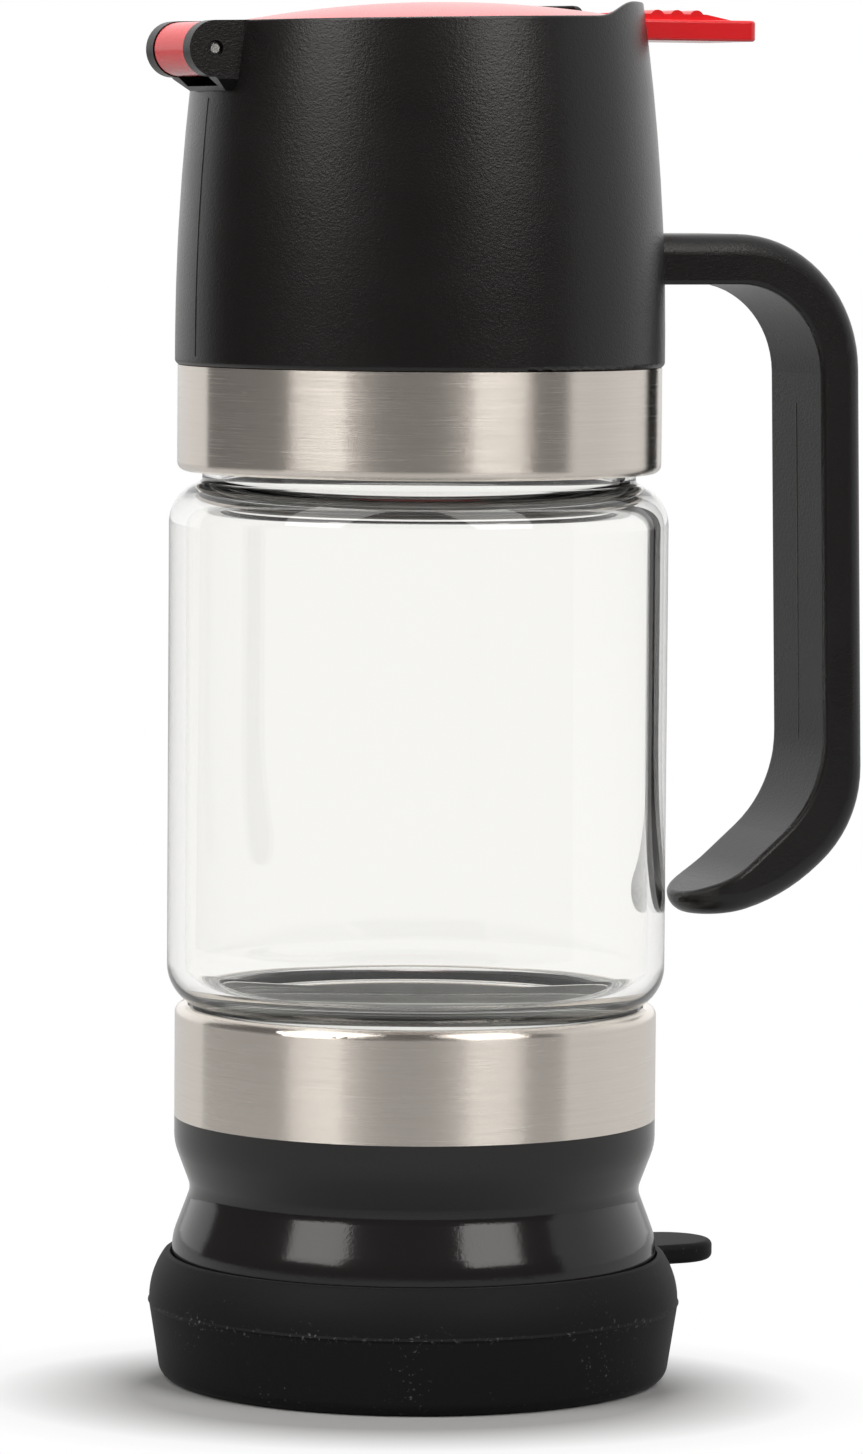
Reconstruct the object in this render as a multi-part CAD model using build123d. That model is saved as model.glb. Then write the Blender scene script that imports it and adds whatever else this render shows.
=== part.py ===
from build123d import *
from math import cos, hypot, radians, sin, sqrt, tan
import os

# Bottom-dispensing syrup dispenser. Millimetres, +Z up.
# The origin is the centre of the boot's underside. The handle and the lid's thumb lever point to +X,
# the lid's hinge is on the -X side, and the part is symmetric about the XZ plane.

# ---- driving dimensions ----

# Soft boot under the base
boot_height = 18.3
boot_floor = 3.0
boot_wall = 3.0             # at the mould ridge, where the boot is widest
boot_clearance = 0.3        # round the base's foot
boot_ridge_z = 11.2
boot_ridge_height = 0.18
boot_ridge_width = 0.7
boot_lip_inset = 2.2        # the lip's outer edge lies this far inside the widest radius
boot_lip_round = 0.45
boot_foot_inset = 1.7
boot_foot_round = 2.2
tab_reach = 48.2            # from the axis to the tab's tip
tab_width = 14.0
tab_thickness = 2.9
tab_drop = 0.5              # from the lip down to the tab's top
tab_round = 0.9

# Waisted base
base_height = 35.4
foot_radius = 35.3
foot_round = 0.8
base_wall = 2.2
waist_radius = 32.56        # where the two cones would meet
waist_height = 24.8
waist_round = 3.1
lower_cone_height = 17.5
lower_cone_round = 9.0
upper_cone_height = 31.4
upper_cone_round = 8.0
socket_radius = 32.0        # takes the liner's plug
socket_depth = 6.0
ledge_width = 4.5
ledge_thickness = 2.0

# Steel bands
band_radius = 35.05
band_sheet = 0.5
band_round = 1.3
band_lip_width = 1.85       # how far the rolled edge reaches in
lower_band_height = 16.2
upper_band_height = 15.3
band_fit = 0.1              # between sheet and moulding

# Glass body
glass_radius = 36.2
glass_wall = 2.6
glass_height = 76.4         # between the two shoulders
shoulder_round = 6.4
neck_radius = 31.4
neck_length = 13.3
neck_root_round = 0.8
lip_round = 0.9

# Threaded sleeves, gaskets and funnel
thread_gap = 1.0            # filled by the thread ridges
gasket_thickness = 1.6
gasket_fit = 0.3
seat_rise = 1.0             # of the lower gasket's seat above the base's top face
step_thickness = 1.9
plug_fit = 0.15
plug_wall = 2.1
funnel_wall = 2.0
funnel_slope = 18.4         # degrees
spigot_radius = 4.6
spigot_bore = 3.2
spigot_length = 6.0
nozzle_bore = 3.0
nozzle_wall = 1.6
nozzle_tip_gap = 3.0        # from the foot's plane up to the nozzle's tip
nozzle_taper = 0.8
nozzle_fit = 0.1            # under the funnel

# Head
collar_height = 49.9        # at the axis
collar_radius = 35.45
collar_straight = 2.5       # height of the straight band at the bottom
collar_curve = 345.0        # radius of the wall's curve above that
collar_wall = 2.4
collar_bore_radius = 31.1   # round the lid
collar_bottom_round = 0.8
rim_slope = 1.23            # degrees that the rim rises towards the horns
horn_rise = 2.6             # over the rim's height at the axis
horn_start = 13.5           # X where the rim starts to rise
horn_end = 24.5             # X where it reaches full height
rim_round = 0.35
sleeve_radius = 30.6        # inner sleeve of the head
sleeve_wall = 1.8
deck_drop = 6.9             # from the rim down to the deck
deck_thickness = 2.2
deck_fit = 0.1
mouth_radius = 25.0
seat_width = 2.0
seat_height = 0.6

# Hinge
pin_radius = 0.95
pin_fit = 0.05
pin_recess = 0.25
pin_end_round = 0.3
hinge_offset = 35.9         # from the axis to the pin
ear_radius = 4.0            # the ears' tops are flush with the rim
ear_thickness = 2.5
ear_depth = 5.9             # from the pin down to the ear's foot
ear_foot_setback = 2.2      # and from the pin in to where the foot starts
ear_chamfer = 1.6
ear_flare_round = 1.0       # where the ears meet the wall
ear_counterbore_radius = 1.17
ear_counterbore_depth = 0.7
barrel_width = 10.2
barrel_radius = 3.85
side_gap = 0.3
slot_drop = 5.25            # from the pin down to the slot's floor

# Lid
lid_apex_rise = 2.5         # above the rim
lid_apex_offset = 4.4       # from the axis towards the lever
lid_curve = 160.0
lid_gap = 0.5               # round the lid's edge
lid_thickness = 2.2
lid_edge_drop = 2.7         # from the rim down to the underside of the lid's edge
lid_edge_height = 2.0       # of the drafted part
lid_edge_draft = 1.4
seal_inner_radius = 24.0
seal_width = 4.2
seal_thickness = 2.2
boss_wall = 1.6
boss_depth = 1.6            # how far the boss reaches into the seal
arm_thickness = 3.1
lever_tip = 50.5            # from the axis
lever_width = 16.4
lever_thickness = 3.05
lever_drop = 2.65           # from the rim down to the lever's underside
lever_corner = 1.5
lever_round = 0.45
notch_gap = 1.1             # each side of the lever
notch_floor_gap = 0.3
horn_corner = 1.6
pad_inset = 1.0
pad_height = 0.8
pad_end = 46.5
rib_first = 34.4
rib_pitch = 3.2
rib_count = 3
rib_radius = 1.2
rib_height = 0.6

# Handle, one moulding with the collar
handle_width = 16.7
handle_thickness = 7.15     # of the grip
handle_arm_thickness = 7.4
handle_reach = 68.45        # from the axis to the outside corner of the arm and the grip
handle_arm_drop = 30.7      # from the rim down to the arm's top
handle_tilt = 1.15          # degrees that the grip leans out going down
handle_corner = 20.3        # outside
handle_inner_corner = 13.5
handle_heel_drop = 87.43    # from the arm's top down to the outside corner of grip and curl
handle_heel_corner = 18.0
curl_round = 30.0
curl_drop = 100.5           # from the arm's top down to the tip's underside
curl_run = 12.63            # from the tip out to the corner of its underside and the curl
curl_heel_rise = 4.61       # inside corner of grip and curl, above the outside one
curl_tip_rise = 6.18        # inside corner of curl and tip, above the tip's underside
curl_tip_setback = 5.63     # and how far it lies in from the outside one
curl_tip_round = 20.0
tip_slope = 23.3            # degrees
tip_reach = 42.0            # from the axis to the tip
tip_blank_thickness = 3.9   # before the tip is thinned
handle_outer_round = 3.0
handle_inner_round = 0.8
handle_root_round = 1.3

overcut = 1.0               # how far a cutter runs past what it cuts

# ---- stations worked out from them ----

foot_z = boot_floor
base_top = foot_z + base_height
lower_band_top = base_top + lower_band_height
lower_seat_z = base_top + seat_rise
glass_bottom = lower_seat_z + gasket_thickness
lower_shoulder_z = glass_bottom + neck_length
upper_shoulder_z = lower_shoulder_z + glass_height
glass_top = upper_shoulder_z + neck_length
upper_seat_z = glass_top + gasket_thickness
collar_z = upper_seat_z + step_thickness
upper_band_bottom = collar_z - upper_band_height
rim_z = collar_z + collar_height
horn_z = rim_z + horn_rise
deck_z = rim_z - deck_drop
rim_lean = radians(rim_slope)
hinge_z = rim_z - hinge_offset * tan(rim_lean) - ear_radius / cos(rim_lean)
neck_bore = neck_radius - glass_wall
skirt_radius = band_radius - band_sheet - band_fit
thread_radius = neck_radius + thread_gap
boot_cavity_radius = foot_radius + boot_clearance
boot_radius = boot_cavity_radius + boot_wall
clevis_half_width = barrel_width / 2 + side_gap + ear_thickness
slot_half_width = barrel_width / 2 + side_gap
lever_bottom = rim_z - lever_drop
lever_top = lever_bottom + lever_thickness
notch_half_width = lever_width / 2 + notch_gap
seat_top = deck_z + seat_height
seal_top = seat_top + seal_thickness
lid_apex = rim_z + lid_apex_rise
lid_radius = collar_bore_radius - lid_gap
arm_top = rim_z - handle_arm_drop


# ---- helpers ----

def rounded(face, corners):
    """Fillet the corners of a flat outline. corners is a list of ((x, y), radius)."""
    for place, radius in corners:
        vertex = face.vertices().sort_by_distance(Vector(*place))[0]
        face = fillet(vertex, radius).face()
    return face


def outline(points, corners=()):
    """A closed outline from straight runs, with some corners rounded."""
    return rounded(make_face(Polyline(*points, close=True)), corners)


def turned(face):
    """Turn an (r, z) outline about the dispenser's axis."""
    return revolve(Plane.XZ * face, Axis.Z, 360)


def side_plate(face, half_width):
    """Give an (x, z) outline a width along Y, centred on the XZ plane."""
    return extrude(Plane.XZ * face, half_width, both=True)


def collar_wall_radius(z):
    """Outside radius of the collar at a height."""
    above = max(0.0, z - collar_z - collar_straight)
    return collar_radius - collar_curve + sqrt(collar_curve**2 - above**2)


def rim_height(x):
    """Height of the rim's slanted line, before the horns."""
    return rim_z + x * tan(rim_lean)


def held_radii(points, radii):
    """Corner radii of an open path, less where two corners need more of a run than it has."""
    runs = [Vector(*after) - Vector(*before) for before, after in zip(points, points[1:])]
    needs = [0.0]
    for radius, before, after in zip(radii, runs, runs[1:]):
        needs.append(radius * tan(radians(before.get_angle(after)) / 2))
    needs.append(0.0)
    room = [min(1.0, 0.98 * run.length / (start + end)) for run, start, end in zip(runs, needs, needs[1:])]
    return [radius * min(sides) for radius, sides in zip(radii, zip(room, room[1:]))]


# ---- boot and base ----

def silicone_boot():
    lip_radius = boot_radius - boot_lip_inset
    ridge = boot_ridge_width / 2
    lip = (lip_radius, boot_height)
    ridge_top = (boot_radius, boot_ridge_z + ridge)
    rise = boot_height - ridge_top[1]
    curve = (rise**2 + boot_lip_inset**2) / (2 * boot_lip_inset)
    foot = (boot_radius - boot_foot_inset, 0)
    edges = [
        Polyline(
            (boot_cavity_radius, boot_height), (boot_cavity_radius, boot_floor), (0, boot_floor), (0, 0),
            foot, (boot_radius, boot_ridge_z - ridge), (boot_radius + boot_ridge_height, boot_ridge_z), ridge_top,
        ),
        RadiusArc(ridge_top, lip, -curve),
        Line(lip, (boot_cavity_radius, boot_height)),
    ]
    cup = turned(rounded(make_face(edges), [(foot, boot_foot_round), (lip, boot_lip_round)]))
    tab_centre = tab_reach - tab_width / 2
    root = boot_cavity_radius + boot_wall / 3
    plan = make_face(
        [
            Polyline((tab_centre, tab_width / 2), (root, tab_width / 2), (root, -tab_width / 2),
                     (tab_centre, -tab_width / 2)),
            ThreePointArc((tab_centre, -tab_width / 2), (tab_reach, 0), (tab_centre, tab_width / 2)),
        ]
    )
    tab_z = boot_height - tab_drop - tab_thickness
    tab = extrude(Pos(0, 0, tab_z) * plan, tab_thickness)
    rim_edges = tab.edges().filter_by(Plane.XY).filter_by(lambda edge: edge.center().X > root + 0.1)
    tab = fillet(rim_edges, tab_round)
    return cup + tab


def base_shell():
    lower_z = foot_z + lower_cone_height
    waist_z = foot_z + waist_height
    upper_z = foot_z + upper_cone_height
    ledge_top = base_top - socket_depth
    ledge_radius = socket_radius - ledge_width
    waist_bore = waist_radius - base_wall
    foot_bore = foot_radius - base_wall
    foot = (foot_radius, foot_z)
    lower = (foot_radius, lower_z)
    waist = (waist_radius, waist_z)
    upper = (band_radius, upper_z)
    points = [
        foot, lower, waist, upper, (band_radius, base_top),
        (socket_radius, base_top), (socket_radius, ledge_top), (ledge_radius, ledge_top),
        (ledge_radius, ledge_top - ledge_thickness), (waist_bore, ledge_top - ledge_thickness),
        (waist_bore, waist_z), (foot_bore, lower_z), (foot_bore, foot_z),
    ]
    corners = [(foot, foot_round), (lower, lower_cone_round), (waist, waist_round), (upper, upper_cone_round)]
    return turned(outline(points, corners))


def funnel_z(radius):
    """Height of the funnel's wet face at a radius."""
    return lower_seat_z - (neck_bore - radius) * tan(radians(funnel_slope))


def base_liner():
    plug_radius = socket_radius - plug_fit
    plug_bore = plug_radius - plug_wall
    plug_bottom = base_top - socket_depth
    under = funnel_wall / cos(radians(funnel_slope))
    spigot_bottom = funnel_z(spigot_radius) - under - spigot_length
    skirt_top = lower_band_top - band_sheet - band_fit
    points = [
        (thread_radius, skirt_top), (skirt_radius, skirt_top), (skirt_radius, base_top), (plug_radius, base_top),
        (plug_radius, plug_bottom), (plug_bore, plug_bottom), (plug_bore, funnel_z(plug_bore) - under),
        (spigot_radius, funnel_z(spigot_radius) - under), (spigot_radius, spigot_bottom),
        (spigot_bore, spigot_bottom), (spigot_bore, funnel_z(spigot_bore)), (neck_bore, lower_seat_z),
        (thread_radius, lower_seat_z),
    ]
    return turned(outline(points, [(points[1], band_round - band_sheet)]))


def outlet_nozzle():
    under = funnel_wall / cos(radians(funnel_slope))
    shoulder_z = funnel_z(spigot_radius) - under - spigot_length
    outside = spigot_radius + nozzle_wall
    root = under + nozzle_fit
    tip_z = foot_z + nozzle_tip_gap
    tip = (outside - nozzle_taper, tip_z)
    points = [
        (nozzle_bore, tip_z), tip, (outside, shoulder_z), (outside, funnel_z(outside) - root),
        (spigot_radius, funnel_z(spigot_radius) - root), (spigot_radius, shoulder_z), (nozzle_bore, shoulder_z),
    ]
    return turned(outline(points, [(tip, nozzle_taper)]))


# ---- steel bands, glass and gaskets ----

def band(closed_z, open_z):
    """A sheet ring from open_z to closed_z, where its edge is rolled in."""
    inward = band_sheet if closed_z > open_z else -band_sheet
    lip_radius = band_radius - band_lip_width
    outside = (band_radius, closed_z)
    inside = (band_radius - band_sheet, closed_z - inward)
    points = [
        (band_radius, open_z), outside, (lip_radius, closed_z), (lip_radius, closed_z - inward), inside,
        (band_radius - band_sheet, open_z),
    ]
    return turned(outline(points, [(outside, band_round), (inside, band_round - band_sheet)]))


def lower_band():
    return band(lower_band_top, base_top)


def upper_band():
    return band(upper_band_bottom, collar_z)


def glass_body():
    low, high = lower_shoulder_z, upper_shoulder_z
    inner_radius = glass_radius - glass_wall
    inner_round = shoulder_round - glass_wall
    rise = sqrt(shoulder_round**2 - (neck_radius - glass_radius + shoulder_round) ** 2)
    low_root, high_root = (neck_radius, low), (neck_radius, high)
    low_side, high_side = (glass_radius, low + rise), (glass_radius, high - rise)
    foot, mouth = (neck_radius, glass_bottom), (neck_radius, glass_top)
    inner = [
        (neck_bore, glass_top), (neck_bore, high - glass_wall), (inner_radius, high - glass_wall),
        (inner_radius, low + glass_wall), (neck_bore, low + glass_wall), (neck_bore, glass_bottom),
    ]
    edges = [
        Line(foot, low_root),
        RadiusArc(low_root, low_side, -shoulder_round),
        Line(low_side, high_side),
        RadiusArc(high_side, high_root, -shoulder_round),
        Polyline(high_root, mouth, *inner, foot),
    ]
    corners = [(low_root, neck_root_round), (high_root, neck_root_round)]
    corners += [(inner[1], neck_root_round), (inner[4], neck_root_round)]
    corners += [(inner[2], inner_round), (inner[3], inner_round)]
    corners += [(foot, lip_round), (mouth, lip_round), (inner[0], lip_round), (inner[5], lip_round)]
    return turned(rounded(make_face(edges), corners))


def gasket(bottom):
    inside, outside = neck_bore + gasket_fit, thread_radius - gasket_fit
    ring = [(inside, bottom), (outside, bottom), (outside, bottom + gasket_thickness),
            (inside, bottom + gasket_thickness)]
    return turned(outline(ring))


def lower_gasket():
    return gasket(lower_seat_z)


def upper_gasket():
    return gasket(glass_top)


# ---- head ----

def collar_liner():
    sleeve_bore = sleeve_radius - sleeve_wall
    deck_radius = collar_bore_radius - deck_fit
    deck_bottom = deck_z - deck_thickness
    skirt_bottom = upper_band_bottom + band_sheet + band_fit
    seat = mouth_radius + seat_width
    points = [
        (thread_radius, skirt_bottom), (skirt_radius, skirt_bottom), (skirt_radius, collar_z),
        (sleeve_radius, collar_z), (sleeve_radius, deck_bottom), (deck_radius, deck_bottom), (deck_radius, deck_z),
        (seat, deck_z), (seat, seat_top), (mouth_radius, seat_top), (mouth_radius, deck_bottom),
        (sleeve_bore, deck_bottom), (sleeve_bore, upper_seat_z), (thread_radius, upper_seat_z),
    ]
    return turned(outline(points, [(points[1], band_round - band_sheet)]))


def handle():
    """Open handle: arm, grip and inward curl, from a side outline with a full-round tip."""
    lean = tan(radians(handle_tilt))
    tip_fall = tan(radians(tip_slope))
    root = collar_bore_radius
    arm_bottom = arm_top - handle_arm_thickness
    tip_z = arm_top - curl_drop
    inner_reach = handle_reach - handle_thickness / cos(radians(handle_tilt))
    inner_heel_drop = handle_heel_drop - curl_heel_rise
    bend_x = tip_reach + curl_run
    inner_bend = (bend_x - curl_tip_setback, tip_z + curl_tip_rise)
    blank_z = tip_z + tip_blank_thickness
    blank_x = inner_bend[0] - (inner_bend[1] - blank_z) / tip_fall
    outside = [
        (root, arm_top), (handle_reach, arm_top),
        (handle_reach + handle_heel_drop * lean, arm_top - handle_heel_drop), (bend_x, tip_z), (tip_reach, tip_z),
    ]
    inside = [
        (root, arm_bottom), (inner_reach + handle_arm_thickness * lean, arm_bottom),
        (inner_reach + inner_heel_drop * lean, arm_top - inner_heel_drop), inner_bend, (blank_x, blank_z),
    ]
    outer_radii = held_radii(outside, [handle_corner, handle_heel_corner, curl_round])
    inner_radii = held_radii(inside, [handle_inner_corner, handle_heel_corner, curl_tip_round])
    outer = FilletPolyline(*outside, radius=outer_radii)
    inner = FilletPolyline(*inside, radius=inner_radii)
    ends = [
        Polyline((blank_x, blank_z), (tip_reach, blank_z), (tip_reach, tip_z)),
        Line((root, arm_top), (root, arm_bottom)),
    ]
    half = handle_width / 2
    centre = tip_reach + half
    bar = side_plate(make_face([outer, inner, *ends]), half)
    zone = Pos(tip_reach + half / 2, 0, blank_z) * Box(half, 2 * handle_width, 4 * tip_blank_thickness)
    bar -= zone - Pos(centre, 0, blank_z) * Cylinder(half, 5 * tip_blank_thickness)
    bar = fillet(edges_along(bar, outer, root), handle_outer_round)
    beyond = tip_reach - tip_blank_thickness
    thinning = [
        (blank_x, blank_z), (beyond, blank_z - (blank_x - beyond) * tip_fall), (beyond, blank_z + overcut),
        (blank_x, blank_z + overcut),
    ]
    bar -= side_plate(outline(thinning), handle_width)
    return fillet(edges_along(bar, inner, root), handle_inner_round)


def edges_along(solid, path, start):
    """The sharp edges of a side plate that follow an (x, z) path, beyond x = start."""
    found = []
    for edge in solid.edges():
        middle = edge @ 0.5
        across = edge.geom_type == GeomType.LINE and abs((edge % 0.5).Y) > 0.99
        if middle.X > start + 0.1 and not across:
            if path.distance_to(Vertex(middle.X, middle.Z, 0)) < 0.01:
                found.append(edge)
    return found


def collar_outside():
    """Solid outside form of the collar, up to the tips of the horns."""
    bottom = (collar_radius, collar_z)
    tangent = (collar_radius, collar_z + collar_straight)
    middle_z = (tangent[1] + horn_z) / 2
    edges = [
        Polyline(tangent, bottom, (0, collar_z), (0, horn_z), (collar_wall_radius(horn_z), horn_z)),
        ThreePointArc((collar_wall_radius(horn_z), horn_z), (collar_wall_radius(middle_z), middle_z), tangent),
    ]
    return turned(rounded(make_face(edges), [(bottom, collar_bottom_round)]))


def collar_inside():
    """Hollow of the collar: a drafted cavity round the sleeve, then the bore round the lid."""
    deck_bottom = deck_z - deck_thickness
    points = [
        (0, collar_z), (collar_radius - collar_wall, collar_z), (collar_bore_radius, deck_bottom),
        (collar_bore_radius, horn_z + overcut), (0, horn_z + overcut),
    ]
    return turned(outline(points))


def hinge_ears():
    """Pair of ears, before they are slotted and bored. Round at the pin and flush with the rim in side view,
    flared at the wall in plan, and cut away under the outer corners in end view."""
    far = 2 * hinge_offset
    foot = hinge_z - ear_depth
    rim_touch = (-hinge_offset - ear_radius * sin(rim_lean), hinge_z + ear_radius * cos(rim_lean))
    plate = [
        (-hinge_offset, hinge_z), (-hinge_offset, hinge_z - ear_radius), (-hinge_offset + ear_foot_setback, foot),
        (0, foot), (0, rim_z), rim_touch,
    ]
    side = (outline(plate) + Pos(-hinge_offset, hinge_z) * Circle(ear_radius)).face()

    half = clevis_half_width
    wall = collar_wall_radius(rim_height(-collar_bore_radius)) - rim_round / 2
    flare_y = half + ear_flare_round
    centre = Vector(-sqrt((wall + ear_flare_round) ** 2 - flare_y**2), flare_y)
    on_ear = Vector(centre.X, half)
    on_wall = centre * (wall / (wall + ear_flare_round))
    middle = centre + ((on_ear + on_wall) / 2 - centre).normalized() * ear_flare_round
    plan = make_face(
        [Polyline(on_ear, (-far, half), (-far, 0), (0, 0), on_wall), ThreePointArc(on_wall, middle, on_ear)]
    )
    end = [
        (0, foot), (half - ear_chamfer, foot), (half + far, foot + far + ear_chamfer), (half + far, far + horn_z),
        (0, far + horn_z),
    ]
    block = side_plate(side, far) & extrude(Pos(0, 0, foot) * plan, far) & extrude(Plane.YZ * outline(end), -far)
    block -= Cylinder((collar_bore_radius + wall) / 2, 4 * horn_z)
    return block + mirror(block, Plane.XZ)


def rim_cut():
    """Everything above the rim's line: slanted, then up an S-curve to the level tops of the horns."""
    far = 2 * collar_radius
    run = horn_end - horn_start
    slanted = [(x, rim_height(x)) for x in (horn_start, horn_start + 0.2 * run, horn_start + 0.45 * run)]
    level = [(x, horn_z) for x in (horn_end - 0.45 * run, horn_end - 0.2 * run, horn_end)]
    edges = [
        Bezier(*slanted, *level),
        Polyline(
            slanted[0], (-far, rim_height(-far)), (-far, horn_z + far), (far, horn_z + far), (far, horn_z), level[-1]
        ),
    ]
    return side_plate(make_face(edges), far)


def lever_notch():
    """Slot in the rim for the lever, with the horns' corners rounded."""
    floor = lever_bottom - notch_floor_gap
    top = horn_z + overcut
    half = notch_half_width
    flare = half + horn_corner
    points = [
        (-half, floor), (half, floor), (half, horn_z), (flare, horn_z), (flare, top), (-flare, top),
        (-flare, horn_z), (-half, horn_z),
    ]
    face = outline(points, [(points[2], horn_corner * 0.98), (points[7], horn_corner * 0.98)])
    return extrude(Plane.YZ * face, 2 * collar_radius)


def hinge_slot():
    """Gap between the ears, through the collar's wall, for the lid's barrel and arm."""
    reach = hinge_offset + 2 * ear_radius
    floor = hinge_z - slot_drop
    height = horn_z + overcut - floor
    return Pos(-reach, 0, floor) * Box(
        reach, 2 * slot_half_width, height, align=(Align.MIN, Align.CENTER, Align.MIN)
    )


def across(radius, half_width):
    """A cylinder on the hinge's axis."""
    return Pos(-hinge_offset, 0, hinge_z) * Rot(90, 0, 0) * Cylinder(radius, 2 * half_width)


def handle_root_edges(solid):
    """Edges where the handle's arm stands out of the collar's curved wall."""
    found = []
    for edge in solid.edges():
        middle = edge @ 0.5
        off_wall = abs(hypot(middle.X, middle.Y) - collar_wall_radius(middle.Z))
        beside = abs(middle.Y) < handle_width and abs(middle.Z - arm_top) < 2 * handle_arm_thickness
        if middle.X > 0 and off_wall < 0.05 and beside:
            found.append(edge)
    return found


def rim_edges(solid):
    """The loops round the top of the collar, outside and in the lid's bore."""
    found = []
    for edge in solid.edges():
        middle = edge @ 0.5
        radius = hypot(middle.X, middle.Y)
        in_bore = abs(radius - collar_bore_radius) < 0.05
        on_wall = abs(radius - collar_wall_radius(middle.Z)) < 0.05
        if middle.Z > rim_height(middle.X) - 0.05 and (in_bore or on_wall):
            found.append(edge)
    return found


def collar():
    body = collar_outside() + handle()
    body = fillet(handle_root_edges(body), handle_root_round)
    body -= collar_inside() + rim_cut()
    body = fillet(rim_edges(body), rim_round)
    body += hinge_ears()
    body -= lever_notch()
    body -= hinge_slot()
    body -= across(pin_radius + pin_fit, 2 * clevis_half_width)
    recess = across(ear_counterbore_radius, clevis_half_width)
    body -= recess - across(ear_counterbore_radius + overcut, clevis_half_width - ear_counterbore_depth)
    return body


def hinge_pin():
    pin = across(pin_radius, clevis_half_width - pin_recess)
    return chamfer(pin.edges().filter_by(GeomType.CIRCLE), pin_end_round)


# ---- lid ----

def lid_shell():
    """Dome with a drafted edge, and the ring and boss that hold the seal. Its top lies towards the lever."""
    edge_z = rim_z - lid_edge_drop
    ring_radius = seal_inner_radius + seal_width
    boss_bore = seal_inner_radius - boss_wall
    boss_z = seal_top - boss_depth
    blank = [
        (0, boss_z), (seal_inner_radius, boss_z), (seal_inner_radius, seal_top), (ring_radius, seal_top),
        (ring_radius, edge_z), (lid_radius - lid_edge_draft, edge_z), (lid_radius, edge_z + lid_edge_height),
        (lid_radius, lid_apex), (0, lid_apex),
    ]
    hollow = Pos(0, 0, boss_z) * Cylinder(boss_bore, lid_apex - boss_z, align=(Align.CENTER, Align.CENTER, Align.MIN))
    return (turned(outline(blank)) & dome(0)) - (hollow & dome(lid_thickness))


def dome(depth):
    """Ball whose surface lies a depth below the lid's dome, with its poles to the sides."""
    return Pos(lid_apex_offset, 0, lid_apex - lid_curve) * Rot(90, 0, 0) * Sphere(lid_curve - depth)


def lid_lever():
    """Thumb lever: a flat bar with a raised pad, and ribs across it."""
    root = seal_inner_radius + seal_width / 2
    length = lever_tip - root
    bar = Pos(root, 0, lever_bottom) * Box(
        length, lever_width, lever_thickness, align=(Align.MIN, Align.CENTER, Align.MIN)
    )
    bar = fillet(bar.edges().filter_by(Axis.Z).group_by(Axis.X)[-1], lever_corner)
    round_the_lever = bar.edges().filter_by(lambda edge: edge.center().X > root + 0.1 and abs((edge % 0.5).Z) < 0.1)
    bar = fillet(round_the_lever, lever_round)
    pad_z = lever_top + pad_height
    pad_half = lever_width / 2 - pad_inset
    pad_foot = lever_bottom + lever_thickness / 2
    slope_start = rib_first + (rib_count - 0.5) * rib_pitch
    pad = side_plate(
        outline([(root, pad_foot), (pad_end, pad_foot), (pad_end, lever_top), (slope_start, pad_z), (root, pad_z)]),
        pad_half,
    )
    ribs = [
        Pos(rib_first + index * rib_pitch, 0, pad_z + rib_height - rib_radius) * Rot(90, 0, 0)
        * Cylinder(rib_radius, 2 * pad_half)
        for index in range(rib_count)
    ]
    return bar + pad + ribs


def lid():
    shell = lid_shell()
    arm_end = seal_inner_radius + seal_width / 2
    arm_top_z = hinge_z + barrel_radius
    arm_bottom_z = arm_top_z - arm_thickness
    arm = side_plate(
        outline([(-hinge_offset, arm_top_z), (-hinge_offset, arm_bottom_z), (-arm_end, arm_bottom_z),
                 (-arm_end, arm_top_z)]),
        barrel_width / 2,
    )
    barrel = across(barrel_radius, barrel_width / 2)
    body = shell + lid_lever() + arm + barrel
    return body - across(pin_radius + pin_fit, barrel_width)


def lid_seal():
    outside = seal_inner_radius + seal_width
    points = [(seal_inner_radius, seat_top), (outside, seat_top), (outside, seal_top), (seal_inner_radius, seal_top)]
    return turned(outline(points, [(points[1], 0.5)]))


# ---- every piece, by node name ----

pieces = {
    "silicone_boot": silicone_boot,
    "base_shell": base_shell,
    "base_liner": base_liner,
    "outlet_nozzle": outlet_nozzle,
    "lower_band": lower_band,
    "lower_gasket": lower_gasket,
    "glass_body": glass_body,
    "upper_gasket": upper_gasket,
    "collar_liner": collar_liner,
    "upper_band": upper_band,
    "collar": collar,
    "hinge_pin": hinge_pin,
    "lid": lid,
    "lid_seal": lid_seal,
}

os.makedirs("parts", exist_ok=True)
for name, make in pieces.items():
    export_step(make(), f"parts/{name}.step")
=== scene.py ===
from math import atan, ceil, cos, pi, radians, sin, sqrt, tan

import bpy
from mathutils import Matrix, Vector


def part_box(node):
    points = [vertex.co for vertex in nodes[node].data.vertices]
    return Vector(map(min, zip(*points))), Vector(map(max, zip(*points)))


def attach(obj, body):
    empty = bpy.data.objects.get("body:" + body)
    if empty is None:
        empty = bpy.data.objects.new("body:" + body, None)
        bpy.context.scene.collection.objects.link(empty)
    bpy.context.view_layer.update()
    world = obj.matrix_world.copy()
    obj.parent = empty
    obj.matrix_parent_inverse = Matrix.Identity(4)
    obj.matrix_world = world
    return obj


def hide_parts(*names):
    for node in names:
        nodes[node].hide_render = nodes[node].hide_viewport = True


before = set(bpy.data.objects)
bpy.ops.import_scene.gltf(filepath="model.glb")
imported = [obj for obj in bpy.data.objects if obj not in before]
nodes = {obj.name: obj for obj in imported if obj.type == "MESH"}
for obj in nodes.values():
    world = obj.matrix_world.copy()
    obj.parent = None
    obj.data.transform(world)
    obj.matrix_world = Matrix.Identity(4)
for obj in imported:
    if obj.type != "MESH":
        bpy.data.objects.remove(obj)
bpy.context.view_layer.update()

MM = 0.001

# ---- the view ----

view_azimuth = radians(-25.2)       # of the camera, from -Y towards -X
view_distance = 1.040               # from the axis, level
view_height = 0.1758
view_pitch = radians(4.44)          # down
view_roll = radians(0.42)
sensor_width = 36.0                 # millimetres, over the picture's longer side
frame_height = 1454.0               # pixels
focal_pixels = 7180.0
axis_offset_pixels = 14.2           # of the object's axis, left of the picture's middle

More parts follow.
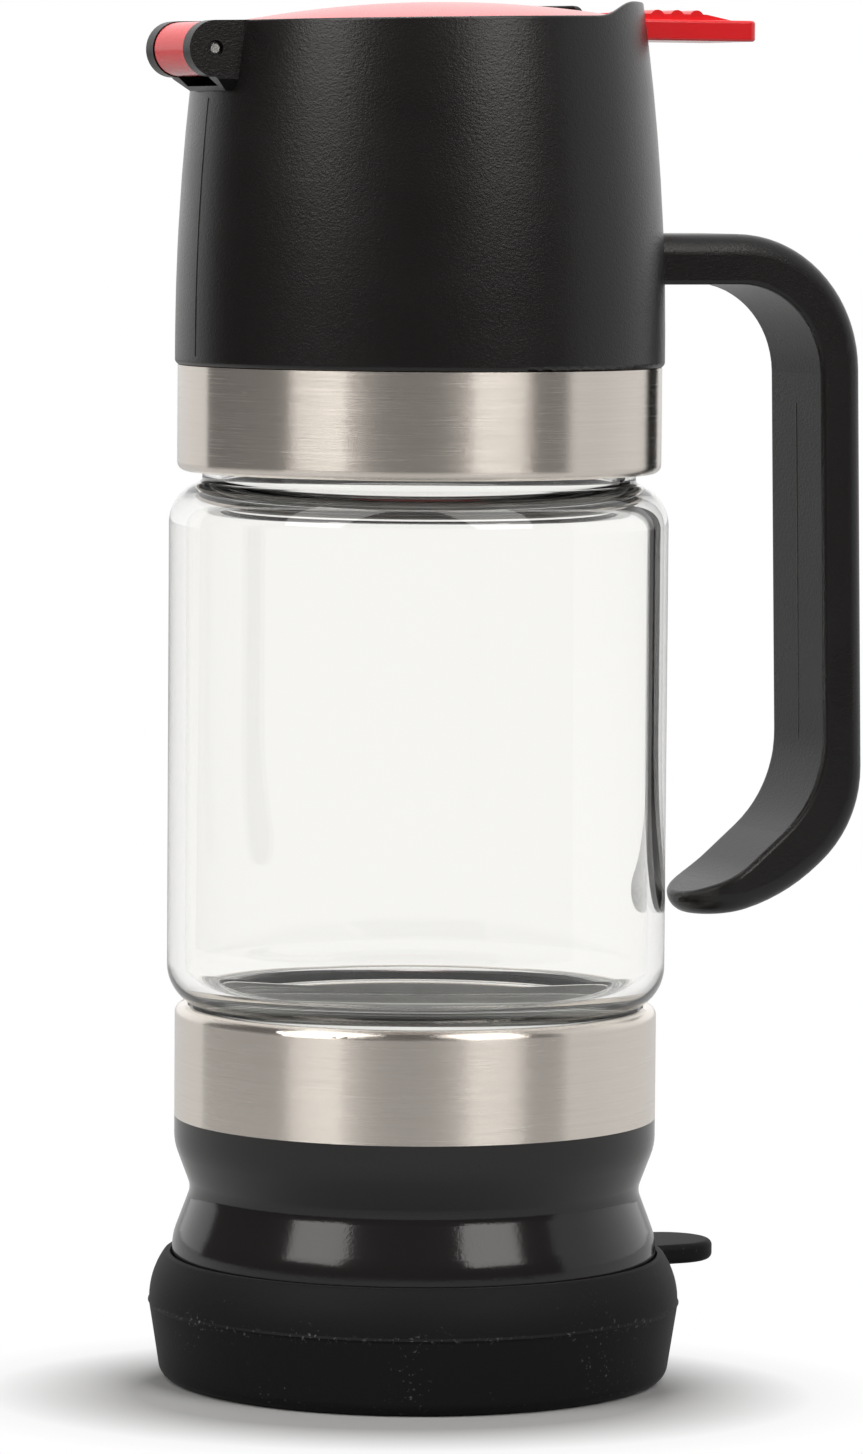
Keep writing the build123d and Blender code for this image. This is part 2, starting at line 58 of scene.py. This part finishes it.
view_forward = Vector((-sin(view_azimuth), cos(view_azimuth), 0))
view_right = Vector((cos(view_azimuth), sin(view_azimuth), 0))
up = Vector((0, 0, 1))


def bearing(angle, elevation=0.0):
    """Direction seen from the object: angle from the camera towards the picture's right, in degrees."""
    level = -view_forward * cos(radians(angle)) + view_right * sin(radians(angle))
    return level * cos(radians(elevation)) + up * sin(radians(elevation))


def add_camera():
    """The camera, turned a little so that the object's axis lies left of the middle."""
    data = bpy.data.cameras.new("camera")
    data.sensor_width = sensor_width
    data.lens = sensor_width * focal_pixels / frame_height
    data.clip_end = 50
    camera = bpy.data.objects.new("camera", data)
    bpy.context.scene.collection.objects.link(camera)
    yaw = atan(axis_offset_pixels / focal_pixels)
    level = view_forward * cos(yaw) + view_right * sin(yaw)
    forward = level * cos(view_pitch) - up * sin(view_pitch)
    right = forward.cross(up).normalized()
    top = right.cross(forward)
    turned_right = right * cos(view_roll) + top * sin(view_roll)
    turned_top = top * cos(view_roll) - right * sin(view_roll)
    rotation = Matrix((turned_right, turned_top, -forward)).transposed().to_4x4()
    place = -view_forward * view_distance + up * view_height
    camera.matrix_world = Matrix.Translation(place) @ rotation
    bpy.context.scene.camera = camera


# ---- shader helpers ----

def add(tree, kind, inputs=None, **settings):
    """Add a shader node. inputs maps a socket's name or number to a value or to an output socket."""
    made = tree.nodes.new("ShaderNode" + kind)
    for name, value in settings.items():
        setattr(made, name, value)
    for key, value in (inputs or {}).items():
        if isinstance(value, bpy.types.NodeSocket):
            tree.links.new(value, made.inputs[key])
        else:
            made.inputs[key].default_value = value
    return made


def material(name, **values):
    """A material with one Principled shader. values are its sockets, with _ for a space."""
    made = bpy.data.materials.new(name)
    made.use_nodes = True
    tree = made.node_tree
    shader = tree.nodes["Principled BSDF"]
    for key, value in values.items():
        shader.inputs[key.replace("_", " ")].default_value = value
    return made, tree, shader


def wire(tree, shader, **sources):
    """Link outputs to the shader's sockets, with _ for a space."""
    for key, source in sources.items():
        tree.links.new(source, shader.inputs[key.replace("_", " ")])


def place_of(tree, stretch=(1, 1, 1)):
    """Object coordinates in metres, stretched."""
    where = add(tree, "TexCoord").outputs["Object"]
    return add(tree, "Mapping", {"Vector": where, "Scale": stretch}).outputs["Vector"]


def noise(tree, where, scale, detail=3.0, roughness=0.5):
    """Noise around 0.5, with scale lumps to the metre."""
    return add(
        tree, "TexNoise", {"Vector": where, "Scale": scale, "Detail": detail, "Roughness": roughness}
    ).outputs["Fac"]


def remap(tree, value, low, high, start=0.0, end=1.0):
    """Low where value is start or less, high where it is end or more, and even between."""
    return add(
        tree, "MapRange", {"Value": value, "From Min": start, "From Max": end, "To Min": low, "To Max": high}
    ).outputs["Result"]


noise_low, noise_high = 0.3, 0.7    # most of a noise's values lie between these


def vary(tree, value, low=0.0, high=1.0):
    """Low to high over a noise's usual values."""
    return remap(tree, value, low, high, noise_low, noise_high)


def mix_value(tree, share, first, second):
    """First where share is 0, second where it is 1. Both may be output sockets."""
    return add(tree, "MapRange", {"Value": share, "To Min": first, "To Max": second}).outputs["Result"]


def mix_colour(tree, share, first, second):
    """First where share is 0, second where it is 1."""
    factor, first_colour, second_colour, result = 0, 6, 7, 2      # the Mix node's colour sockets
    made = add(tree, "Mix", {factor: share, first_colour: first, second_colour: second}, data_type="RGBA")
    return made.outputs[result]


def bump(tree, height, distance, strength=1.0, under=None):
    """A normal from a height, distance metres deep, on top of another bump."""
    made = add(tree, "Bump", {"Height": height, "Distance": distance, "Strength": strength})
    if under is not None:
        tree.links.new(under, made.inputs["Normal"])
    return made.outputs["Normal"]


def math(tree, operation, first, second=0.0):
    """A sum, product or the like of two numbers or output sockets."""
    return add(tree, "Math", {0: first, 1: second}, operation=operation).outputs[0]


def distance_along(tree, where, direction):
    """How far a place lies along a direction."""
    return add(tree, "VectorMath", {0: where, 1: direction}, operation="DOT_PRODUCT").outputs["Value"]


# ---- materials ----

def moulded_black():
    """Satin black moulding with a spark-eroded texture and faint handling marks."""
    made, tree, shader = material("moulded_black", Base_Color=(0.0048, 0.0036, 0.0034, 1), IOR=1.5)
    where = place_of(tree)
    marks = noise(tree, where, 45, 4)
    grain = noise(tree, where, 3600, 2, 0.6)
    pits = noise(tree, place_of(tree, (1, 1, 1.6)), 1500, 3, 0.6)
    fine = bump(tree, grain, 0.03 * MM)
    wire(tree, shader, Roughness=vary(tree, marks, 0.26, 0.32), Normal=bump(tree, pits, 0.05 * MM, 0.7, fine))
    return made


def base_black():
    """Smoother black moulding of the base."""
    made, tree, shader = material("base_black", Base_Color=(0.015, 0.0135, 0.0135, 1), IOR=1.5)
    where = place_of(tree)
    marks = noise(tree, where, 60, 4)
    grain = noise(tree, where, 1800, 3, 0.6)
    wire(tree, shader, Roughness=vary(tree, marks, 0.10, 0.14), Normal=bump(tree, grain, 0.012 * MM))
    return made


rubber_colour = (0.016, 0.0156, 0.016, 1)
dust_colour = (0.25, 0.25, 0.24, 1)
dust_cover = 0.5                    # of a speck at its densest
speck_edge = 0.64, 0.74             # the noise's values where specks start and are full
clump_edge = 0.50, 0.68             # and the same for clumps
ridge_z = 11.2 * MM                 # the mould line round the boot
ridge_near = 0.2 * MM               # dust lies thickest within this of the line
ridge_far = 1.2 * MM                # and no thicker than elsewhere beyond this
ridge_clumps = 0.16                 # what the line adds to the clumps of dust
ridge_specks = 0.35 * ridge_clumps  # and to the single specks


def silicone_black():
    """Matt silicone rubber with specks of dust, in clumps and along the mould line."""
    made, tree, shader = material(
        "silicone_black", Roughness=0.55, IOR=1.42, Specular_IOR_Level=0.06,
        Sheen_Weight=0.09, Sheen_Roughness=0.4,
    )
    where = place_of(tree)
    height = add(tree, "SeparateXYZ", {0: where}).outputs["Z"]
    from_ridge = math(tree, "ABSOLUTE", math(tree, "SUBTRACT", height, ridge_z))
    more_specks = remap(tree, from_ridge, ridge_specks, 0, ridge_near, ridge_far)
    more_clumps = remap(tree, from_ridge, ridge_clumps, 0, ridge_near, ridge_far)
    specks = math(tree, "ADD", noise(tree, where, 1500, 2, 0.7), more_specks)
    clumps = math(tree, "ADD", noise(tree, place_of(tree, (-1, -1, 1)), 70, 3), more_clumps)
    specks = remap(tree, specks, 0, dust_cover, *speck_edge)
    clumps = remap(tree, clumps, 0, 1, *clump_edge)
    dust = math(tree, "MULTIPLY", specks, clumps)
    grain = noise(tree, where, 2200, 3, 0.6)
    wire(
        tree, shader,
        Base_Color=mix_colour(tree, dust, rubber_colour, dust_colour),
        Normal=bump(tree, grain, 0.03 * MM),
    )
    return made


def brushed_steel():
    """Stainless sheet brushed round the band."""
    made, tree, shader = material(
        "brushed_steel", Metallic=1.0, Anisotropic=1.0, Anisotropic_Rotation=0.25
    )
    lines = noise(tree, place_of(tree, (1, 1, 240)), 60, 5, 0.7)
    long_lines = noise(tree, place_of(tree, (1, 1, 90)), 35, 3, 0.6)
    wire(
        tree, shader,
        Base_Color=mix_colour(tree, vary(tree, long_lines), (0.84, 0.775, 0.705, 1), (0.88, 0.815, 0.745, 1)),
        Roughness=vary(tree, lines, 0.20, 0.285),
        Tangent=add(tree, "Tangent", direction_type="RADIAL", axis="Z").outputs["Tangent"],
        Normal=bump(tree, lines, 0.005 * MM),
    )
    return made


def ground_steel():
    """The hinge pin's ends."""
    made, tree, shader = material("ground_steel", Base_Color=(0.68, 0.67, 0.65, 1), Metallic=1.0)
    marks = noise(tree, place_of(tree), 2500, 2)
    wire(tree, shader, Roughness=vary(tree, marks, 0.22, 0.36))
    return made


def clear_glass():
    """Clear glass with a slight ripple. Light from the lamps and bounced light pass straight through."""
    made, tree, shader = material(
        "clear_glass", Base_Color=(0.978, 0.975, 0.960, 1), Roughness=0.0, IOR=1.51, Transmission_Weight=1.0
    )
    ripple = noise(tree, place_of(tree, (1, 1, 0.35)), 55, 1)
    wire(tree, shader, Normal=bump(tree, ripple, 0.04 * MM, 0.5))
    path = add(tree, "LightPath").outputs
    unbent = math(tree, "MAXIMUM", path["Is Shadow Ray"], path["Is Diffuse Ray"])
    clear = add(tree, "BsdfTransparent", {"Color": (0.95, 0.95, 0.94, 1)}).outputs[0]
    both = add(tree, "MixShader", {0: unbent, 1: shader.outputs[0], 2: clear}).outputs[0]
    tree.links.new(both, tree.nodes["Material Output"].inputs["Surface"])
    return made


def red_plastic():
    """Glossy red of the lid, with slight flow marks."""
    made, tree, shader = material("red_plastic", IOR=1.5, Coat_Weight=0.5, Coat_Roughness=0.10)
    where = place_of(tree)
    flow = noise(tree, where, 40, 3)
    grain = noise(tree, where, 2600, 2, 0.6)
    wire(
        tree, shader,
        Base_Color=mix_colour(tree, vary(tree, flow), (0.93, 0.008, 0.013, 1), (0.97, 0.013, 0.020, 1)),
        Roughness=vary(tree, flow, 0.22, 0.29),
        Normal=bump(tree, grain, 0.012 * MM),
    )
    return made


def inner_plastic():
    """Dark grey moulding of the threaded sleeves and the funnel."""
    made, tree, shader = material("inner_plastic", IOR=1.5)
    flow = noise(tree, place_of(tree, (1, 1, 0.2)), 160, 3)
    grain = noise(tree, place_of(tree), 1500, 3, 0.6)
    wire(
        tree, shader,
        Base_Color=mix_colour(tree, vary(tree, flow), (0.19, 0.192, 0.198, 1), (0.25, 0.252, 0.258, 1)),
        Roughness=vary(tree, grain, 0.28, 0.36),
        Normal=bump(tree, grain, 0.006 * MM),
    )
    return made


def seal_silicone():
    """Milky silicone of the gaskets and the lid's seal."""
    made, tree, shader = material(
        "seal_silicone", Base_Color=(0.72, 0.73, 0.71, 1), IOR=1.42, Roughness=0.5, Subsurface_Weight=0.3,
        Subsurface_Radius=(2.0 * MM, 2.0 * MM, 1.8 * MM), Subsurface_Scale=1.0,
    )
    grain = noise(tree, place_of(tree), 1200, 2)
    wire(tree, shader, Normal=bump(tree, grain, 0.01 * MM))
    return made


def dress(made, *names):
    """Put a material on CAD nodes."""
    for name in names:
        piece = nodes[name]
        piece.data.materials.clear()
        piece.data.materials.append(made)


# ---- shape helpers ----

def mesh_piece(name, body, finish, vertices, faces):
    """A smooth mesh. With a body it rides on that."""
    data = bpy.data.meshes.new(name)
    data.from_pydata(vertices, [], faces)
    data.update()
    for polygon in data.polygons:
        polygon.use_smooth = True
    data.materials.append(finish)
    piece = bpy.data.objects.new(name, data)
    bpy.context.scene.collection.objects.link(piece)
    if body is not None:
        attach(piece, body)
    return piece


def arc(centre, radius, start, end, count):
    """Points of an arc in the (r, z) plane, angles in degrees."""
    made = []
    for index in range(count + 1):
        angle = radians(start + (end - start) * index / count)
        made.append((centre[0] + radius * cos(angle), centre[1] + radius * sin(angle)))
    return made


def straight(first, last, count):
    """Points between two ends, without the ends."""
    return [
        (first[0] + (last[0] - first[0]) * index / count, first[1] + (last[1] - first[1]) * index / count)
        for index in range(1, count)
    ]


def turned(profile, segments, shape):
    """Vertices and faces of a closed (r, z) profile turned about the axis. shape changes r by place."""
    vertices = []
    for step in range(segments):
        angle = 2 * pi * step / segments
        for radius, z in profile:
            r = shape(radius, z, angle)
            vertices.append((r * cos(angle), r * sin(angle), z))
    count = len(profile)
    faces = []
    for step in range(segments):
        here, beyond = step * count, (step + 1) % segments * count
        for index in range(count):
            after = (index + 1) % count
            faces.append((here + index, beyond + index, beyond + after, here + after))
    return vertices, faces


# ---- glass body with its threads ----

glass_wall = 2.6 * MM
neck_radius = 31.4 * MM
neck_length = 13.3 * MM
shoulder_round = 6.4 * MM
root_round = 0.8 * MM
lip_round = 0.9 * MM
thread_pitch = 4.0 * MM
thread_turns = 1.75
thread_height = 0.8 * MM
thread_half_width = 1.25 * MM
thread_sharpness = 1.3              # 1 is a cosine bump, more is narrower
thread_inset = 2.6 * MM             # of the thread's start, from the neck's lip
thread_fade = 0.35                  # radians at each end
glass_segments = 360                # round the axis
small_round_steps = 6
neck_steps = 44
shoulder_steps = 20
side_steps = 24
bore_steps = 16
inner_round_steps = 16
on_surface = 0.001 * MM             # how near the neck's radius a point of its outside is


def thread_rise(z, angle, lip_z, inward):
    """Height of the thread over the neck. inward is +1 or -1, from the lip towards the shoulder."""
    depth = (z - lip_z) * inward
    best = 0.0
    for turn in range(ceil(thread_turns) + 1):
        along = angle + 2 * pi * turn if inward < 0 else 2 * pi - angle + 2 * pi * turn
        if along > 2 * pi * thread_turns:
            continue
        offset = depth - thread_inset - thread_pitch * along / (2 * pi)
        if abs(offset) < thread_half_width:
            ends = min(1.0, along / thread_fade, (2 * pi * thread_turns - along) / thread_fade)
            section = cos(pi / 2 * offset / thread_half_width) ** thread_sharpness
            best = max(best, thread_height * ends * section)
    return best


def glass_body(finish):
    """The blown body: rounded shoulders, a threaded neck at each end and an even wall."""
    low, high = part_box("glass_body")
    bottom, top, radius = low.z, high.z, high.x
    low_root, high_root = bottom + neck_length, top - neck_length
    bore = neck_radius - glass_wall
    inner = radius - glass_wall
    inner_round = shoulder_round - glass_wall
    centre = radius - shoulder_round
    rise = sqrt(shoulder_round**2 - (neck_radius - centre) ** 2)
    low_side, high_side = low_root + rise, high_root - rise
    root_x = neck_radius + root_round
    drop = sqrt((shoulder_round + root_round) ** 2 - (root_x - centre) ** 2)
    touch = atan(drop / (root_x - centre)) * 180 / pi
    low_neck, high_neck = low_side - drop, high_side + drop
    low_inside, high_inside = low_root + glass_wall, high_root - glass_wall

    profile = arc((neck_radius - lip_round, bottom + lip_round), lip_round, -90, 0, small_round_steps)
    profile += straight((neck_radius, bottom + lip_round), (neck_radius, low_neck), neck_steps)
    profile += arc((root_x, low_neck), root_round, 180, 180 - touch, small_round_steps)
    profile += arc((centre, low_side), shoulder_round, -touch, 0, shoulder_steps)
    profile += straight((radius, low_side), (radius, high_side), side_steps)
    profile += arc((centre, high_side), shoulder_round, 0, touch, shoulder_steps)
    profile += arc((root_x, high_neck), root_round, touch - 180, -180, small_round_steps)
    profile += straight((neck_radius, high_neck), (neck_radius, top - lip_round), neck_steps)
    profile += arc((neck_radius - lip_round, top - lip_round), lip_round, 0, 90, small_round_steps)
    profile += arc((bore + lip_round, top - lip_round), lip_round, 90, 180, small_round_steps)
    profile += straight((bore, top - lip_round), (bore, high_inside + root_round), bore_steps)
    profile += arc((bore + root_round, high_inside + root_round), root_round, 180, 270, small_round_steps)
    profile += arc((inner - inner_round, high_inside - inner_round), inner_round, 90, 0, inner_round_steps)
    profile += straight((inner, high_inside - inner_round), (inner, low_inside + inner_round), side_steps)
    profile += arc((inner - inner_round, low_inside + inner_round), inner_round, 0, -90, inner_round_steps)
    profile += arc((bore + root_round, low_inside - root_round), root_round, 90, 180, small_round_steps)
    profile += straight((bore, low_inside - root_round), (bore, bottom + lip_round), bore_steps)
    profile += arc((bore + lip_round, bottom + lip_round), lip_round, 180, 270, small_round_steps)

    def with_threads(r, z, angle):
        """Only the outsides of the necks have a thread."""
        if abs(r - neck_radius) > on_surface:
            return r
        if z < low_root:
            return r + thread_rise(z, angle, bottom, 1)
        return r + thread_rise(z, angle, top, -1)

    vertices, faces = turned(profile, glass_segments, with_threads)
    piece = mesh_piece("glass_body_blown", "reservoir", finish, vertices, faces)
    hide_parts("glass_body")


# ---- mould lines ----

line_half_width = 0.22 * MM
line_height = 0.07 * MM
collar_radius = 35.45 * MM          # at the upper band
collar_curve = 345 * MM             # radius of the wall's curve, inwards going up
collar_straight = 2.5 * MM          # upright part of the wall, under the curve
collar_line_start = 1.5             # millimetres over the upper band
collar_line_share = 0.70            # of the collar's height
grip_reach = 61.30 * MM             # from the axis to the grip's inner face, at the arm's top
grip_lean = tan(radians(1.15))      # outwards, going down
arm_drop = 33.3 * MM                # from the collar's top to the arm's top
arm_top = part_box("collar")[1].z - arm_drop
grip_line_start = 25                # millimetres under the arm's top
grip_line_length = 52               # millimetres
line_steps = 24


def ridge_along(name, points, outward, finish):
    """A low rounded ridge on the head along a path in the XZ plane, standing out to one side."""
    # places across and heights, as shares of the half width and of the height
    section = ((-1.0, -0.6), (-0.6, 0.55), (0.0, 1.0), (0.6, 0.55), (1.0, -0.6))
    vertices, faces = [], []
    for point in points:
        for across, height in section:
            vertices.append(point + Vector((0, across * line_half_width, 0)) + outward * height * line_height)
    count = len(section)
    for index in range(len(points) - 1):
        for side in range(count - 1):
            first = index * count + side
            faces.append((first, first + count, first + count + 1, first + 1))
    mesh_piece(name, "head", finish, vertices, faces)


def mould_lines(finish):
    """Where the mould's halves met: up the collar under the hinge, and down the grip's inner face."""
    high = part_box("collar")[1]
    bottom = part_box("upper_band")[1].z
    height = (high.z - bottom) / MM
    wall = []
    for index in range(line_steps + 1):
        z = bottom + (collar_line_start + height * collar_line_share * index / line_steps) * MM
        above = max(0.0, z - bottom - collar_straight)
        wall.append(Vector((collar_curve - collar_radius - sqrt(collar_curve**2 - above**2), 0, z)))
    ridge_along("mould_line_collar", wall, Vector((-1, 0, 0)), finish)
    grip = []
    for index in range(line_steps + 1):
        drop = (grip_line_start + grip_line_length * index / line_steps) * MM
        grip.append(Vector((grip_reach + drop * grip_lean, 0, arm_top - drop)))
    ridge_along("mould_line_grip", grip, Vector((-1, 0, 0)), finish)


# ---- stage and light ----

def glowing(name, strength, colour):
    """A material that only gives light."""
    made = bpy.data.materials.new(name)
    made.use_nodes = True
    tree = made.node_tree
    tree.nodes.clear()
    light = add(tree, "Emission", {"Color": (*colour, 1), "Strength": strength})
    output = add(tree, "OutputMaterial")
    tree.links.new(light.outputs[0], output.inputs["Surface"])
    return made


def reflected_only(piece):
    """Stage the piece so that nothing but reflections show it."""
    piece.visible_camera = False
    piece.visible_diffuse = False
    piece.visible_shadow = False
    piece.visible_transmission = False
    piece.visible_volume_scatter = False


def patch(name, finish, point_at, across, along):
    """A grid of across by along faces, where point_at(u, v) gives a place."""
    vertices = [point_at(u / across, v / along) for v in range(along + 1) for u in range(across + 1)]
    faces = []
    for v in range(along):
        for u in range(across):
            first = v * (across + 1) + u
            faces.append((first, first + 1, first + across + 2, first + across + 1))
    return mesh_piece(name, None, finish, vertices, faces)


room_left, room_right = -120.0, 75.0     # bearings from the camera, in degrees
room_bottom, room_top = -2.0, 78.0       # elevations
room_radius = 3.0
room_steps, room_rows, apron_rows = 48, 16, 2
table_radius = 0.60                 # where the dark floor begins
apron_lift = 0.001                  # over the table


def dark_room():
    """The unlit studio on the camera's side, and the floor beyond the white table."""
    finish = glowing("dark_studio", 0.10, (1.0, 0.95, 0.92))

    def wall(u, v):
        """Round the object by u and upwards by v, both from 0 to 1."""
        angle = room_left + (room_right - room_left) * u
        return bearing(angle, room_bottom + (room_top - room_bottom) * v) * room_radius

    reflected_only(patch("studio_wall", finish, wall, room_steps, room_rows))

    def apron(u, v):
        """Round the object by u and outwards by v."""
        angle = room_left + (room_right - room_left) * u
        reach = table_radius + (room_radius - table_radius) * v
        return bearing(angle) * reach + up * apron_lift

    reflected_only(patch("studio_floor", finish, apron, room_steps, apron_rows))


softbox_distance = 1.6
aim_height = 0.1                    # of the place the softboxes point at


def softbox(name, angle, elevation, width, height, radiance, glare, colour):
    """Softbox aimed down at the object. glare is what its reflections have over its radiance.

    angle and elevation are in degrees, width and height in metres.
    """
    for part, level in (("", radiance), ("_glare", glare)):
        if level == 0:
            continue
        data = bpy.data.lights.new(name + part, "AREA")
        data.shape = "RECTANGLE"
        data.size = width
        data.size_y = height
        data.energy = level * pi * width * height
        data.color = colour
        lamp = bpy.data.objects.new(name + part, data)
        bpy.context.scene.collection.objects.link(lamp)
        lamp.location = bearing(angle, elevation) * softbox_distance + up * aim_height
        aim = (up * aim_height - lamp.location).normalized()
        lamp.rotation_euler = aim.to_track_quat("-Z", "Y").to_euler()
        lamp.visible_camera = False
        lamp.visible_transmission = False
        if part:
            lamp.visible_diffuse = False


def add_lights():
    """Two tall warm softboxes in front and a white one over the back."""
    warm = (1.0, 0.985, 0.96)
    softbox("softbox_left", -50.5, 40, 0.84, 1.42, 3.4, 4.8, warm)
    softbox("softbox_right", 40.5, 40, 0.80, 1.42, 3.6, 3.5, warm)
    softbox("softbox_top", 180, 78, 0.50, 0.50, 12.5, 0.0, (1, 1, 1))


# pairs are for the camera's side and for the far side
sweep_light = 0.12, 0.32
sweep_mirrored = 0.64, 1.0          # in reflections
light_turn = -0.5, 0.5              # where the light's change starts and ends, from 0 beside the object
mirrored_turn = 0.1, 0.9


def add_world():
    """White sweep. What it gives as light and in reflections is brighter behind the object."""
    world = bpy.data.worlds.new("studio")
    world.use_nodes = True
    bpy.context.scene.world = world
    tree = world.node_tree
    tree.nodes.clear()
    path = add(tree, "LightPath").outputs
    where = add(tree, "TexCoord").outputs["Generated"]
    behind = distance_along(tree, where, view_forward)
    light = remap(tree, behind, *sweep_light, *light_turn)
    mirrored = remap(tree, behind, *sweep_mirrored, *mirrored_turn)
    strength = mix_value(tree, path["Is Glossy Ray"], light, mirrored)
    seen = math(tree, "MAXIMUM", path["Is Camera Ray"], path["Is Transmission Ray"])
    strength = mix_value(tree, seen, strength, 1.0)
    background = add(tree, "Background", {"Color": (1, 1, 1, 1), "Strength": strength})
    output = add(tree, "OutputWorld")
    tree.links.new(background.outputs[0], output.inputs["Surface"])


# painted shadow: the table's grey patch round the foot, an ellipse whose middle lies towards the camera and
# which is narrower in depth; the lamps' real shading shows on it
painted_shadow_left = 2.0 * MM
painted_shadow_nearer = 15.5 * MM
painted_shadow_narrow = 1.25
painted_shadow_core = 38 * MM               # full as far out as this
painted_shadow_faint = 60 * MM
painted_shadow_end = 72 * MM
faint_white = 0.90                  # share of white at painted_shadow_faint
mirrored_white = 0.35               # share of the white that reflections see
painted_shadow_grey = 0.38                   # painted shadow: the table's grey inside the patch round the foot, of what the lights fall on


def floor_material():
    """White table. The camera, gloss and glass see it white, apart from a painted shadow round the foot: a
    grey patch of the table, fading out to white glow, on which the lamps' real shading shows.
    """
    made = bpy.data.materials.new("white_table")
    made.use_nodes = True
    tree = made.node_tree
    tree.nodes.clear()
    path = add(tree, "LightPath").outputs
    where = add(tree, "TexCoord").outputs["Object"]
    across = math(tree, "ADD", distance_along(tree, where, view_right), painted_shadow_left)
    depth = math(tree, "ADD", distance_along(tree, where, view_forward), painted_shadow_nearer)
    depth = math(tree, "MULTIPLY", depth, painted_shadow_narrow)
    offset = add(tree, "CombineXYZ", {"X": across, "Y": depth}).outputs["Vector"]
    reach = add(tree, "VectorMath", {0: offset}, operation="LENGTH").outputs["Value"]
    seen = math(tree, "MAXIMUM", path["Is Camera Ray"], path["Is Transmission Ray"])
    seen = math(tree, "MAXIMUM", seen, math(tree, "MULTIPLY", path["Is Glossy Ray"], mirrored_white))
    # painted shadow: the white glow fades in outwards from the grey patch's middle
    near = remap(tree, reach, 0.0, faint_white, painted_shadow_core, painted_shadow_faint)
    far = remap(tree, reach, 0.0, 1.0 - faint_white, painted_shadow_faint, painted_shadow_end)
    white = math(tree, "MULTIPLY", seen, math(tree, "ADD", near, far))
    # painted shadow: inside the patch the table is this grey, lit and shaded by the lamps
    grey = (painted_shadow_grey, painted_shadow_grey, painted_shadow_grey, 1)
    matt = add(tree, "BsdfDiffuse", {"Color": grey, "Roughness": 1.0}).outputs[0]
    glow = add(tree, "Emission", {"Color": (1, 1, 1, 1), "Strength": 1.0}).outputs[0]
    total = add(tree, "MixShader", {0: white, 1: matt, 2: glow}).outputs[0]
    output = add(tree, "OutputMaterial")
    tree.links.new(total, output.inputs["Surface"])
    return made


table_inner, table_outer = 0.02, 6.0
table_steps, table_rings = 96, 24


def add_floor():
    """The table: a disc with a small hole under the object, in rings that widen outwards."""
    finish = floor_material()

    def disc(u, v):
        """Round the axis by u and outwards by v, both from 0 to 1."""
        reach = table_inner + (table_outer - table_inner) * v * v
        return Vector((cos(2 * pi * u), sin(2 * pi * u), 0)) * reach

    floor = patch("table", finish, disc, table_steps, table_rings)


# ---- the whole ----

bpy.context.scene.view_settings.view_transform = "Standard"

add_camera()
add_world()
add_lights()
dark_room()
add_floor()

black = moulded_black()
dress(black, "collar")
dress(base_black(), "base_shell")
dress(silicone_black(), "silicone_boot")
dress(brushed_steel(), "lower_band", "upper_band")
dress(ground_steel(), "hinge_pin")
dress(red_plastic(), "lid")
dress(inner_plastic(), "base_liner", "collar_liner", "outlet_nozzle")
dress(seal_silicone(), "lower_gasket", "upper_gasket", "lid_seal")
glass_body(clear_glass())
mould_lines(black)
